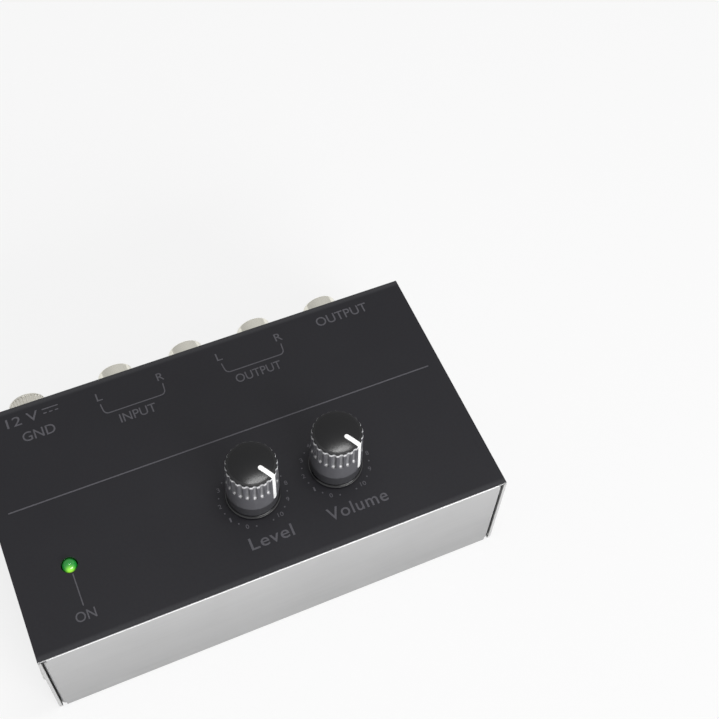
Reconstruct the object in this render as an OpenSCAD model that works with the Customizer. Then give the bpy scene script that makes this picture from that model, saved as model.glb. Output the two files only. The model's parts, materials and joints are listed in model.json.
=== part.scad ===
// Desktop phono preamp: a two-piece folded steel case with a circuit board inside,
// two turning controls and a power lamp on the top, and sockets along the rear wall.
// Millimetres. X runs left to right, Y from front to rear, Z up.
// The origin is the centre of the case's underside, which is the face it rests on.

/* [Case] */
// Width of the case over its side walls
body_w = 103.4; // [101:0.2:112]
// Depth of the case over its front and rear walls
body_d = 58.0; // [56:0.2:66]
// Height of the case from its underside to its top face
body_h = 28.0; // [26:0.2:34]
// Thickness of the steel sheet
sheet = 0.6; // [0.5:0.1:0.9]
// Inside radius of every fold in the sheet
fold_in_r = 0.2; // [0.1:0.1:0.6]
// Gap between a side wall and the end of the front or rear wall
side_gap = 0.3; // [0.2:0.1:0.6]
// Gap between the cover's plate and the top edge of a side wall
lid_gap = 0.1; // [0.05:0.05:0.3]
// Depth of the cover's inner end flanges
flange_d = 8.0; // [7:0.5:9]
// Height of the relief notch at each end of a flange
notch_h = 1.2; // [1.0:0.1:2]

/* [Case screws] */
// Thread radius of the screws that hold the cover
cover_screw_r = 1.5; // [1.2:0.1:1.6]
// Radius of their thin flat heads
cover_head_r = 2.7; // [2.4:0.1:2.9]
// Height of their heads
cover_head_h = 0.6; // [0.5:0.1:1.0]
// Length of their threads
cover_screw_l = 5.0; // [4:0.5:6]

/* [Circuit board] */
// Thickness of the circuit board
pcb_t = 1.6; // [1.2:0.2:2.0]
// Height of the pillars under the board
standoff_h = 4.4; // [4:0.2:6]
// Gap from the board's front and rear edges to the cover's walls
pcb_end_gap = 1.0; // [0.6:0.1:1.4]
// Gap from the board's side edges to the cover's end flanges
pcb_side_gap = 3.0; // [2.6:0.1:3.6]
// Distance of the board's screws from its side edges
pcb_screw_inset_x = 3.2; // [3:0.1:3.8]
// Distance of the board's screws from its front and rear edges
pcb_screw_inset_y = 7.4; // [7:0.2:9]
// Thread radius of the board's screws
pcb_screw_r = 1.25; // [1.0:0.05:1.4]

/* [Controls] */
// Place of the level control from left to right
level_x = 0.2; // [-1:0.2:2]
// Place of the volume control from left to right
volume_x = 19.2; // [18:0.2:21]
// Place of both controls from front to rear
control_y = -10.85; // [-12:0.05:-9]
// Turn of both pointers, counted from the right-hand side
pointer_deg = -54; // [-60:1:240]
// Height of a knob
knob_h = 14.6; // [13:0.2:16]
// Radius of a knob's bottom rim
knob_r = 5.9; // [5.6:0.02:6.4]
// Gap between a knob and the top of the case
knob_gap = 0.3; // [0.3:0.1:1.0]
// Number of grip flutes round a knob
flutes = 21; // [14:1:22]
// Radius of the flute cutter
flute_r = 0.55; // [0.4:0.05:0.6]
// Radius of a control shaft
shaft_r = 3.0; // [2.8:0.1:3.2]
// Length of shaft that a knob holds
shaft_grip = 9.0; // [7:0.5:10]
// Height of a potentiometer above the board
pot_h = 10.5; // [9:0.5:12]

/* [Lamp] */
// Distance of the power lamp from the left side
led_inset = 11.65; // [10:0.05:13]
// Place of the power lamp from front to rear
led_y = -11.4; // [-14:0.1:-9]
// Radius of the lamp's lens
led_r = 1.5; // [1.5:0.1:1.7]
// Height of the lens tip over the top face
led_proud = 1.0; // [0.7:0.05:1.2]

/* [Rear sockets] */
// Distance of the ground terminal from the left side
ground_inset = 14.0; // [13.5:0.1:15]
// Distance from the ground terminal to the power inlet
ground_to_inlet = 10.7; // [9.5:0.1:11]
// Distance from the power inlet to the first phono socket
inlet_to_jack = 10.6; // [10.2:0.1:11.2]
// Distance of the last phono socket from the right side
jack_inset = 15.9; // [14:0.1:17]
// Height of the phono sockets' axes above the board
jack_axis_h = 7.1; // [6.6:0.1:8]
// Outside radius of a phono socket's sleeve
jack_r = 4.15; // [4.05:0.05:4.25]
// Length of sleeve outside the rear wall
jack_out = 9.0; // [8:0.5:10]
// Height of the power inlet's axis above the board
inlet_axis_h = 6.5; // [6:0.1:7]
// Radius of the ground terminal's stud
stud_r = 2.0; // [1.8:0.05:2.2]
// Travel of the ground terminal's nut
nut_travel = 2.8; // [2:0.1:3]

/* [Hidden] */

$fn = 64;
cut = 0.5;           // how far a cutting shape runs past what it cuts
touch = 0.02;        // clearance between pieces that are fixed together
turn_gap = 0.05;     // clearance round a piece that turns in another
screw_gap = 0.2;     // clearance round a screw in a plain hole
wall_gap = 0.1;      // clearance behind and round what stands at the rear wall

// Case, from the driving sizes
fold_r = fold_in_r + sheet;                    // outside radius of a fold
plate_set = 0.15;                              // the plate's side tabs stop this short
wall_y = body_d / 2 - sheet;                   // inner face of the front and rear walls
wall_end = body_w / 2 - sheet - side_gap;      // outer face of the cover's end flanges
side_h = body_h - sheet - lid_gap;             // height of the tray's side walls
tray_gap = 0.2;                                // tray floor to the front and rear walls
screw_hole_r = cover_screw_r + screw_gap;
cover_head_edge = 0.35;                        // chamfer of a case screw's head
screw_y = body_d / 2 - (flange_d + fold_r) / 2;
screw_z = body_h / 2;
collar_wall = 0.7;                             // drawn collar that holds the thread
collar_r = cover_screw_r + collar_wall;
collar_l = 0.9;

// Board
pcb_z = sheet + standoff_h;
pcb_top = pcb_z + pcb_t;
pcb_w = 2 * (wall_end - sheet - pcb_side_gap);
pcb_d = 2 * (wall_y - pcb_end_gap);
pcb_corner_r = 1.5;
pcb_screw_x = pcb_w / 2 - pcb_screw_inset_x;
pcb_screw_y = pcb_d / 2 - pcb_screw_inset_y;
pcb_hole_gap = 0.25;
pcb_hole_r = pcb_screw_r + pcb_hole_gap;
pcb_head_r = 2 * pcb_screw_r;
pcb_head_h = 1.7;
standoff_wall = 1.35;
standoff_r = pcb_screw_r + standoff_wall;
standoff_foot_r = 3.1;                         // corner radius of the hexagonal foot
leg_below = 1.2;                               // how far legs reach below the board
leg_z = pcb_z - leg_below;
leg_w = 1.0;
leg_t = 0.5;
leg_hole_r = 0.7;
wire_r = 0.3;
wire_hole_r = 0.45;

// Controls
pot_w = 9.8;
pot_d = 11.4;
pot_boss_wall = 0.9;
pot_boss_r = shaft_r + pot_boss_wall;
pot_boss_h = 1.8;
pot_edge = 0.6;
pot_pin_pitch = 2.5;
pot_row_y = [2.2, 4.5];                        // rows of pins behind the shaft
rotor_r = pot_boss_r;
rotor_h = 1.0;
rotor_up = 2.0;                                // rotor chamber above the board
shaft_hole_gap = 0.6;                          // room round a shaft in the cover
shaft_hole_r = shaft_r + shaft_hole_gap;
shaft_flat = 0.5 * shaft_r;                    // depth of the flat from the shaft's axis
knob_z = body_h + knob_gap;
knob_cap = 1.9;                                // moulding over the shaft's end
shaft_top = knob_z + knob_h - knob_cap;
shaft_bottom = pcb_top + rotor_up + turn_gap;
rim_set = 0.5;
rim_r = knob_r - rim_set;                      // grip radius at the crown's edge
crown_h = 0.7;                                 // rise of the crown over its edge
crown_round = 0.5;                             // rounding of the crown's edge
lip_h = 0.5;                                   // bottom rim
lip_slope = 0.25;                              // height of the slope over it
neck_set = 0.36;
neck_r = knob_r - neck_set;
shoulder_set = 0.26;
shoulder_r = knob_r - shoulder_set;
shoulder_z = 4.2;
flute_z = 0.58 * knob_h;                       // lower ends of the flutes
knob_wall = 1.2;
knob_roof = 2.4;
knob_hub_wall = 1.0;
knob_hub_r = shaft_r + knob_hub_wall;
knob_hub_z = 2.0;
knob_rib_t = 0.8;
pointer_w = 1.0;
pointer_depth = 0.5;
pointer_proud = 0.06;
pointer_start = 1.75;
pointer_end_z = 0.31 * knob_h;
pointer_land = 34;                             // degrees kept free of flutes
flute_step = (360 - pointer_land) / (flutes - 1);

// Lamp
led_x = led_inset - body_w / 2;
led_l = 5.3;
led_flange = 0.4;
led_flange_r = led_r + led_flange;
led_flange_h = 0.9;
led_hole_gap = 0.25;
led_hole_r = led_r + led_hole_gap;
led_bottom = body_h + led_proud - led_l;
led_lead_x = 1.27;                             // half the distance between the leads
spacer_wall = 0.5;
spacer_r = led_flange_r + spacer_wall;

// Row of sockets, each placed from its neighbour
ground_x = ground_inset - body_w / 2;
inlet_x = ground_x + ground_to_inlet;
jack_x = inlet_x + inlet_to_jack;              // first phono socket
jack_pitch = (body_w / 2 - jack_inset - jack_x) / 3;

// Phono sockets
jack_z = pcb_top + jack_axis_h;
jack_wall = 0.7;
jack_bore_r = jack_r - jack_wall;
jack_tip = body_d / 2 + jack_out;
jack_tip_edge = 0.45;                          // rounding of the sleeve's mouth
jack_face = wall_y - wall_gap;                 // outer face of a socket's housing
jack_w = 10.4;
jack_d = 11.5;
jack_slope = 2.2;                              // slope of the housing's inner top edge
jack_top = jack_z + jack_w / 2;
jack_seat = 5.0;                               // length of sleeve inside the housing
jack_back = jack_face - jack_d;
jack_root_set = 0.35;                          // step down of the sleeve in the housing
jack_root_r = jack_r - jack_root_set;
jack_collar_wall = 0.65;                       // collar of the housing in the rear wall
jack_collar_r = jack_root_r + jack_collar_wall;
jack_collar_out = 0.2;
jack_collar_tip = body_d / 2 + jack_collar_out;
jack_hole_r = jack_collar_r + wall_gap;
pin_r = 1.6;                                   // radius of the plug's centre pin
contact_r = pin_r + touch;
contact_t = 0.45;
contact_back = 1.5;                            // closed end of the contact tube
contact_sunk = 2.0;
insulator_sunk = 0.4;

// Power inlet
inlet_z = pcb_top + inlet_axis_h;
inlet_w = 9.0;
inlet_h = inlet_axis_h + inlet_w / 2;
inlet_d = 14.0;
inlet_front_d = 3.4;
inlet_bore_r = 3.15;
inlet_bore_l = 9.2;
inlet_barrel_set = 0.3;                        // step behind the square front
inlet_pin_r = 1.0;
inlet_pin_root_r = 0.6;                        // the pin where the body holds it
inlet_pin_edge = 0.25;
inlet_pin_sunk = 0.8;
inlet_slit_w = 0.3;
inlet_slit_l = 3.0;
leaf_t = 0.3;
leaf_leg_in = 3.5;                             // leaf's leg behind the square front
inlet_gap = 0.25;

// Ground terminal
bracket_w = 7.0;
bracket_up = 4.2;
bracket_foot = 4.0;
stud_head_r = 3.9;
stud_head_h = 2.4;
fixed_nut_h = 2.2;
fixed_nut_y = body_d / 2;
washer_y = fixed_nut_y + fixed_nut_h + touch;
washer_t = 1.0;
washer_set = 0.15;
washer_r = jack_r - washer_set;
spigot_wall = 1.0;
spigot_r = stud_r + spigot_wall;
spigot_lip = 0.3;
spigot_lip_r = spigot_r + spigot_lip;
spigot_lip_t = 0.3;
spigot_sunk = 0.1;
thumb_y = washer_y + washer_t + turn_gap;
thumb_tip = jack_tip;
thumb_roof = 0.9;
thumb_edge = 0.4;
knurls = 32;
knurl_r = 0.3;
knurl_end = 0.3;                               // plain rim at each end of the knurls
stud_grip = 2.6;                               // thread held by the nut fully out
stud_end = washer_y + nut_travel + stud_grip;

// Board parts: places on the board's top, counted from its centre
film_spots = [[-13, -9], [-13, -3.5], [32, -9], [32, -3.5]];
film_size = [7.2, 3.0, 6.5];
film_pitch = 5.0;
coupling_spots = [[4, 8.5], [12, 8.5], [28, 8.5], [36, 8.5]];
coupling_r = 2.5;
coupling_h = 11.0;
supply_spots = [[-29, 2], [-29, -8]];
supply_r = 4.0;
supply_h = 11.5;
can_lead_x = 0.4;                              // a can's leads, as a share of its radius
can_groove = 0.25;
can_groove_z = [0.9, 1.2, 1.5, 1.8];           // crimp round a can's foot
can_rim_w = 0.7;
can_rim_h = 0.15;
can_edge = 0.3;
opamp_spots = [[-3, 1.5], [20, 1.5]];
opamp_size = [3.9, 4.9, 1.5];
opamp_up = 0.15;
opamp_lead_pitch = 1.27;
opamp_lead_w = 0.4;
opamp_lead_t = 0.2;
opamp_lead_out = 1.1;
opamp_lead_z = 0.8;                            // where the leads leave the body
opamp_foot = 0.6;
regulator_spot = [-20, 6];
regulator_r = 2.4;
regulator_h = 4.6;
regulator_flat = 1.4;                          // distance of its flat face from its axis
regulator_up = 1.5;
regulator_lead_x = 1.27;
diode_inset = 10.2;                            // from the board's left side
diode_spot = [diode_inset - pcb_w / 2, 12];
diode_size = [4.4, 2.6, 2.1];
diode_up = 0.1;
diode_tab = [1.0, 1.6, 0.5];
resistor_count = 12;
resistor_inset = 14.0;                         // from the board's sides to the first and last
resistor_y = -21.0;
resistor_size = [3.2, 1.6, 0.6];
resistor_x = pcb_w / 2 - resistor_inset;
resistor_pitch = 2 * resistor_x / (resistor_count - 1);
ceramic_size = [1.25, 2.0, 0.9];
ceramic_off = [5.5, -1.0];                     // beside each amplifier chip
ceramic_spots = [for (s = opamp_spots, k = [-1, 1])
    [s[0] + k * ceramic_off[0], s[1] + ceramic_off[1]]];

// ---------- small helpers ----------

// A U-shaped folded profile, open downwards, centred on Y
module folded_u(w, h, t, r) {
    difference() {
        rounded_top(w, h, r);
        translate([0, -cut]) rounded_top(w - 2 * t, h - t + cut, r - t);
    }
}

module rounded_top(w, h, r) {
    translate([-w / 2, 0]) square([w, h - r]);
    translate([-w / 2 + r, 0]) square([w - 2 * r, h]);
    for (s = [-1, 1]) translate([s * (w / 2 - r), h - r]) circle(r);
}

module rounded_plate(w, d, t, r) {
    linear_extrude(t) {
        square([w - 2 * r, d], center = true);
        square([w, d - 2 * r], center = true);
        for (sx = [-1, 1], sy = [-1, 1])
            translate([sx * (w / 2 - r), sy * (d / 2 - r)]) circle(r);
    }
}

// A rectangle of half sizes x and y whose corners are cut off by e
module clipped_square(x, y, e) {
    polygon([[x, y - e], [x - e, y], [e - x, y], [-x, y - e],
        [-x, e - y], [e - x, -y], [x - e, -y], [x, e - y]]);
}

// A cylinder along +Y that starts at y
module rod_y(y, l, r) {
    translate([0, y, 0]) rotate([-90, 0, 0]) cylinder(h = l, r = r);
}

// A profile of [radius, y] points revolved round the Y axis
module turned_y(points) {
    rotate([-90, 0, 0]) rotate_extrude() polygon(points);
}

// The four corners where the cover is screwed to the tray
module at_cover_screws() {
    for (sx = [-1, 1], sy = [-1, 1])
        translate([sx * body_w / 2, sy * screw_y, screw_z]) rotate([0, -90 * sx, 0])
            children();
}

module at_pcb_screws() {
    for (sx = [-1, 1], sy = [-1, 1])
        translate([sx * pcb_screw_x, sy * pcb_screw_y, 0]) children();
}

module cross_recess(r, depth) {
    for (a = [0, 90]) rotate(a)
        translate([-r, -r / 5, -depth]) cube([2 * r, 2 * r / 5, depth + cut]);
}

// ---------- case ----------

module cover() {
    color([0.2, 0.2, 0.21]) difference() {
        union() {
            // Plate over the full width, whose sides lie on the tray's walls
            translate([-body_w / 2, -body_d / 2 + plate_set, body_h - sheet])
                cube([body_w, body_d - 2 * plate_set, sheet]);
            // Front wall, plate and rear wall as one folded sheet
            rotate([90, 0, 90]) translate([0, 0, -(wall_end - fold_r)])
                linear_extrude(2 * (wall_end - fold_r))
                    folded_u(body_d, body_h, sheet, fold_r);
            for (sx = [-1, 1], sy = [-1, 1]) mirrored(sx, sy) end_flange();
        }
        at_cover_screws() translate([0, 0, sheet]) cylinder(h = 3 * sheet + collar_l + cut,
            r = cover_screw_r + touch);
        translate([led_x, led_y, 0]) cylinder(h = body_h + cut, r = led_hole_r);
        for (x = [level_x, volume_x])
            translate([x, control_y, 0]) cylinder(h = body_h + cut, r = shaft_hole_r);
        for (i = [0:3]) translate([jack_x + i * jack_pitch, 0, jack_z])
            rod_y(wall_y - cut, sheet + 2 * cut, jack_hole_r);
        translate([ground_x, 0, jack_z]) rod_y(wall_y - cut, sheet + 2 * cut, stud_r + touch);
        translate([inlet_x - inlet_w / 2 - inlet_gap, wall_y - cut, pcb_top - inlet_gap])
            cube([inlet_w + 2 * inlet_gap, sheet + 2 * cut, inlet_h + 2 * inlet_gap]);
    }
}

// Mirrors its children to the left for sx of -1 and to the front for sy of -1
module mirrored(sx, sy) {
    mirror([sx < 0 ? 1 : 0, 0, 0]) mirror([0, sy < 0 ? 1 : 0, 0]) children();
}

// The rear wall's right end, folded inwards beside the tray's side wall
module end_flange() {
    flange_h = body_h - 2 * notch_h;
    bend_x = wall_end - fold_r;
    bend_y = body_d / 2 - fold_r;
    translate([0, 0, notch_h]) {
        intersection() {
            translate([bend_x, bend_y, 0]) difference() {
                cylinder(h = flange_h, r = fold_r);
                translate([0, 0, -cut]) cylinder(h = flange_h + 2 * cut, r = fold_in_r);
            }
            translate([bend_x, bend_y, 0]) cube([fold_r, fold_r, flange_h]);
        }
        translate([wall_end - sheet, body_d / 2 - flange_d, 0])
            cube([sheet, flange_d - fold_r, flange_h]);
    }
    translate([wall_end - sheet, screw_y, screw_z]) rotate([0, -90, 0])
        cylinder(h = collar_l, r = collar_r);
}

module base_tray() {
    color([0.68, 0.68, 0.66]) difference() {
        translate([0, body_d / 2, 0]) rotate([90, 0, 0]) linear_extrude(body_d)
            translate([0, side_h]) mirror([0, 1]) folded_u(body_w, side_h, sheet, fold_r);
        // The floor stops short of the front and rear walls
        for (s = [-1, 1]) translate([0, s * (wall_y - tray_gap + body_d / 2), 0])
            cube([2 * (body_w / 2 - fold_r), body_d, 2 * fold_r], center = true);
        at_cover_screws() translate([0, 0, -cut])
            cylinder(h = sheet + 2 * cut, r = screw_hole_r);
        at_pcb_screws() translate([0, 0, -cut])
            cylinder(h = sheet + 2 * cut, r = standoff_foot_r + touch, $fn = 6);
    }
}

module cover_screws() {
    color([0.75, 0.75, 0.74]) at_cover_screws() difference() {
        union() {
            cylinder(h = cover_screw_l, r = cover_screw_r);
            translate([0, 0, -cover_head_h]) rotate_extrude() polygon([[0, 0],
                [cover_head_r - cover_head_edge, 0], [cover_head_r, cover_head_edge],
                [cover_head_r, cover_head_h], [0, cover_head_h]]);
        }
        translate([0, 0, -cover_head_h]) mirror([0, 0, 1])
            cross_recess(cover_head_r * 0.5, cover_head_h);
    }
}

// ---------- circuit board ----------

module pcb_standoffs() {
    color("silver") at_pcb_screws() difference() {
        union() {
            cylinder(h = sheet, r = standoff_foot_r, $fn = 6);
            cylinder(h = pcb_z, r = standoff_r);
        }
        translate([0, 0, sheet]) cylinder(h = pcb_z, r = pcb_screw_r + touch);
    }
}

module pcb() {
    color([0.05, 0.3, 0.12]) difference() {
        translate([0, 0, pcb_z]) rounded_plate(pcb_w, pcb_d, pcb_t, pcb_corner_r);
        at_pcb_screws() drill(pcb_hole_r);
        for (x = [level_x, volume_x]) translate([x, control_y, 0]) {
            for (p = pot_pin_spots()) translate(p) drill(leg_hole_r);
            for (s = [-1, 1]) translate([s * (pot_w / 2 - leg_t), 0, 0]) drill(leg_hole_r);
        }
        for (s = [-1, 1]) translate([led_x + s * led_lead_x, led_y, 0]) drill(wire_hole_r);
        for (i = [0:3]) translate([jack_x + i * jack_pitch, 0, 0]) {
            translate([0, jack_back - leg_t / 2, 0]) drill(leg_hole_r);
            translate([0, jack_face - jack_seat + leg_t / 2, 0]) drill(leg_hole_r);
        }
        translate([inlet_x, 0, 0]) {
            translate([0, body_d / 2 - inlet_d - leg_t / 2, 0]) drill(leg_hole_r);
            translate([0, inlet_leaf_leg_y(), 0]) drill(leg_hole_r);
        }
        translate([ground_x, bracket_tab_y(), 0]) drill(leg_hole_r);
        for (p = film_spots, s = [-1, 1]) translate([p[0] + s * film_pitch / 2, p[1], 0])
            drill(wire_hole_r);
        for (p = coupling_spots, s = [-1, 1])
            translate([p[0] + s * can_lead_x * coupling_r, p[1], 0]) drill(wire_hole_r);
        for (p = supply_spots, s = [-1, 1])
            translate([p[0] + s * can_lead_x * supply_r, p[1], 0]) drill(wire_hole_r);
        for (i = [-1:1]) translate([regulator_spot[0] + i * regulator_lead_x,
            regulator_spot[1], 0]) drill(wire_hole_r);
    }
}

module drill(r) {
    translate([0, 0, pcb_z - cut]) cylinder(h = pcb_t + 2 * cut, r = r);
}

module pcb_screws() {
    color("silver") at_pcb_screws() difference() {
        union() {
            translate([0, 0, 2 * sheet]) cylinder(h = pcb_top - 2 * sheet, r = pcb_screw_r);
            translate([0, 0, pcb_top]) rotate_extrude() polygon([[0, 0], [pcb_head_r, 0],
                [pcb_head_r, pcb_head_h * 0.6], [pcb_head_r * 0.7, pcb_head_h],
                [0, pcb_head_h]]);
        }
        translate([0, 0, pcb_top + pcb_head_h])
            cross_recess(pcb_head_r * 0.55, pcb_head_h / 2);
    }
}

// ---------- controls ----------

function pot_pin_spots() = [for (i = [-1:1], y = pot_row_y) [pot_pin_pitch * i, y, 0]];

module pot_case() {
    color([0.6, 0.6, 0.62]) difference() {
        union() {
            translate([0, 0, pcb_top]) linear_extrude(pot_h)
                clipped_square(pot_w / 2, pot_d / 2, pot_edge);
            translate([0, 0, pcb_top + pot_h]) cylinder(h = pot_boss_h, r = pot_boss_r);
            // Lugs that lock the case to the board
            for (s = [-1, 1]) translate([s * (pot_w / 2 - leg_t) - leg_t / 2, -leg_w / 2, leg_z])
                cube([leg_t, leg_w, pcb_top - leg_z + cut]);
        }
        translate([0, 0, pcb_top + rotor_up])
            cylinder(h = pot_h + pot_boss_h, r = shaft_r + turn_gap);
        translate([0, 0, pcb_top + rotor_up])
            cylinder(h = rotor_h + 2 * turn_gap, r = rotor_r + turn_gap);
    }
}

module pot_pins() {
    color("goldenrod") for (p = pot_pin_spots())
        translate([p[0] - leg_w / 2, p[1] - leg_t / 2, leg_z])
            cube([leg_w, leg_t, pcb_top - leg_z]);
}

module pot_shaft() {
    color([0.7, 0.7, 0.72]) rotate(pointer_deg) difference() {
        translate([0, 0, shaft_bottom]) {
            cylinder(h = shaft_top - shaft_bottom, r = shaft_r);
            cylinder(h = rotor_h, r = rotor_r);
        }
        translate([shaft_flat, -shaft_r - cut, shaft_top - shaft_grip])
            cube([shaft_r, 2 * (shaft_r + cut), shaft_grip + cut]);
    }
}

// Outline of a knob from its axis outwards, grown by g
function knob_outline(g) = [
    [0, 0], [knob_r + g, 0], [knob_r + g, lip_h], [neck_r + g, lip_h + lip_slope],
    [shoulder_r + g, shoulder_z], [rim_r + g, knob_h - crown_h - crown_round],
    each crown_points(g)];

// Rounded edge of the crown and the shallow dome over it
function crown_points(g) = let (
        edge_r = rim_r - crown_round,
        dome_r = (edge_r * edge_r + crown_h * crown_h) / (2 * crown_h),
        dome_a = asin(edge_r / dome_r))
    concat([for (a = [15:15:60]) [edge_r + (crown_round + g) * cos(a),
            knob_h - crown_h - crown_round + (crown_round + g) * sin(a)]],
        [for (i = [0:8]) let (a = dome_a * (1 - i / 8))
            [(dome_r + g) * sin(a), knob_h - dome_r + (dome_r + g) * cos(a)]]);

module knob_body(g) {
    translate([0, 0, knob_z]) rotate_extrude($fn = 96) polygon(knob_outline(g));
}

// The strip that a pointer line fills, widened by g
module pointer_strip(g) {
    half = pointer_w / 2 + g;
    difference() {
        intersection() {
            knob_body(pointer_proud + g);
            union() {
                translate([pointer_start + half, -half, knob_z + pointer_end_z + half])
                    cube([knob_r, 2 * half, knob_h]);
                translate([pointer_start + half, 0, knob_z + pointer_end_z + half])
                    cylinder(h = knob_h, r = half, $fn = 24);
                translate([0, 0, knob_z + pointer_end_z + half]) rotate([0, 90, 0])
                    cylinder(h = knob_r + cut, r = half, $fn = 24);
            }
        }
        pointer_core(g);
    }
}

// What stays of the knob under its pointer line
module pointer_core(g) {
    depth = pointer_depth + g;
    translate([0, 0, knob_z - cut]) {
        cylinder(h = knob_h - crown_h - depth + cut, r = rim_r - depth);
        translate([0, 0, knob_h - crown_h - depth + cut])
            cylinder(h = crown_h * 0.6, r1 = rim_r - depth, r2 = pointer_start);
    }
}

module knob() {
    color([0.1, 0.1, 0.1]) rotate(pointer_deg) difference() {
        knob_body(0);
        // Hollow underside with a hub and four ribs
        difference() {
            translate([0, 0, knob_z - cut])
                cylinder(h = knob_h - knob_roof + cut, r = rim_r - knob_wall);
            translate([0, 0, knob_z + knob_hub_z]) cylinder(h = knob_h, r = knob_hub_r);
            for (a = [45:90:315]) rotate(a)
                translate([0, -knob_rib_t / 2, knob_z + knob_hub_z])
                    cube([rim_r, knob_rib_t, knob_h]);
        }
        // Bore with a flat for the shaft
        difference() {
            translate([0, 0, knob_z - cut])
                cylinder(h = shaft_top - knob_z + cut + touch, r = shaft_r + touch);
            translate([shaft_flat + touch, -shaft_r - cut, shaft_top - shaft_grip])
                cube([shaft_r, 2 * (shaft_r + cut), shaft_grip + cut]);
        }
        for (i = [0:flutes - 1]) rotate(pointer_land / 2 + i * flute_step)
            translate([rim_r + flute_r * 0.45, 0, knob_z + flute_z + flute_r]) {
                cylinder(h = knob_h, r = flute_r, $fn = 24);
                sphere(r = flute_r, $fn = 24);
            }
        pointer_strip(touch);
    }
}

module pointer() {
    color("white") rotate(pointer_deg) pointer_strip(0);
}

// ---------- lamp ----------

module power_led() {
    color([0.3, 0.9, 0.2]) translate([led_x, led_y, led_bottom]) {
        cylinder(h = led_flange_h, r = led_flange_r);
        cylinder(h = led_l - led_r, r = led_r);
        intersection() {
            translate([0, 0, led_l - led_r]) sphere(r = led_r);
            cylinder(h = led_l, r = led_r);
        }
    }
}

module led_leads() {
    color("silver") for (s = [-1, 1]) translate([led_x + s * led_lead_x, led_y, leg_z])
        cylinder(h = led_bottom - leg_z, r = wire_r, $fn = 24);
}

module led_spacer() {
    color([0.12, 0.12, 0.12]) translate([led_x, led_y, pcb_top]) difference() {
        cylinder(h = led_bottom - pcb_top, r = spacer_r);
        for (s = [-1, 1]) translate([s * led_lead_x, 0, -cut])
            cylinder(h = body_h, r = wire_r + wall_gap, $fn = 24);
    }
}

// ---------- phono sockets, drawn with the axis at x = 0 ----------

module jack_housing() {
    color([0.1, 0.1, 0.1]) difference() {
        union() {
            translate([-jack_w / 2, 0, 0]) rotate([90, 0, 90]) linear_extrude(jack_w)
                polygon([[jack_back, pcb_top], [jack_face, pcb_top], [jack_face, jack_top],
                    [jack_back + jack_slope, jack_top], [jack_back, jack_top - jack_slope]]);
            // Collar that centres the socket in the rear wall
            translate([0, 0, jack_z])
                rod_y(jack_face - cut, jack_collar_tip - jack_face + cut, jack_collar_r);
        }
        translate([0, 0, jack_z]) {
            rod_y(jack_face - jack_seat - touch, jack_seat + jack_out, jack_root_r + touch);
            rod_y(jack_back - cut, jack_d, contact_r + contact_t + touch);
        }
        // Slot for the sleeve's earth leg
        translate([-leg_w / 2 - touch, jack_face - jack_seat - touch, pcb_top - cut])
            cube([leg_w + 2 * touch, leg_t + 2 * touch, jack_z - pcb_top]);
    }
}

module jack_sleeve() {
    sleeve_back = jack_face - jack_seat;
    color([0.78, 0.76, 0.7]) {
        translate([0, 0, jack_z]) turned_y([[jack_bore_r, sleeve_back],
            [jack_root_r, sleeve_back], [jack_root_r, jack_collar_tip],
            [jack_r, jack_collar_tip],
            each [for (a = [0:22.5:90]) [jack_r - jack_tip_edge * (1 - cos(a)),
                jack_tip - jack_tip_edge * (1 - sin(a))]],
            [jack_bore_r, jack_tip]]);
        translate([-leg_w / 2, sleeve_back, leg_z])
            cube([leg_w, leg_t, jack_z - (jack_bore_r + jack_root_r) / 2 - leg_z]);
    }
}

module jack_insulator(c) {
    color(c) translate([0, 0, jack_z]) difference() {
        rod_y(jack_face - jack_seat, jack_tip - insulator_sunk - jack_face + jack_seat,
            jack_bore_r - touch);
        rod_y(jack_face - jack_seat - cut, jack_seat + jack_out + 2 * cut,
            contact_r + contact_t + touch);
    }
}

module jack_contact() {
    color([0.85, 0.68, 0.3]) {
        translate([0, 0, jack_z]) difference() {
            rod_y(jack_back - leg_t, jack_tip - contact_sunk - jack_back + leg_t,
                contact_r + contact_t);
            rod_y(jack_back + contact_back, jack_tip, contact_r);
        }
        translate([-leg_w / 2, jack_back - leg_t, leg_z])
            cube([leg_w, leg_t, jack_z + contact_r - leg_z]);
    }
}

// ---------- power inlet ----------

function inlet_leaf_leg_y() = body_d / 2 - inlet_front_d - leaf_leg_in;

module dc_inlet_body() {
    color([0.08, 0.08, 0.08]) translate([inlet_x, 0, 0]) difference() {
        union() {
            translate([-inlet_w / 2, body_d / 2 - inlet_front_d, pcb_top])
                cube([inlet_w, inlet_front_d, inlet_h]);
            translate([-inlet_w / 2, body_d / 2 - inlet_d, pcb_top])
                cube([inlet_w, inlet_d, inlet_axis_h]);
            translate([0, 0, inlet_z])
                rod_y(body_d / 2 - inlet_d, inlet_d, inlet_w / 2 - inlet_barrel_set);
        }
        translate([0, 0, inlet_z]) {
            rod_y(body_d / 2 - inlet_bore_l, inlet_bore_l + cut, inlet_bore_r);
            rod_y(body_d / 2 - inlet_d - cut, inlet_d, inlet_pin_root_r + touch);
        }
        // Channel for the leaf and its leg
        translate([-leg_w / 2 - wall_gap, body_d / 2 - inlet_bore_l, pcb_top - cut])
            cube([leg_w + 2 * wall_gap, inlet_bore_l - inlet_front_d - leg_w, inlet_axis_h]);
    }
}

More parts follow.
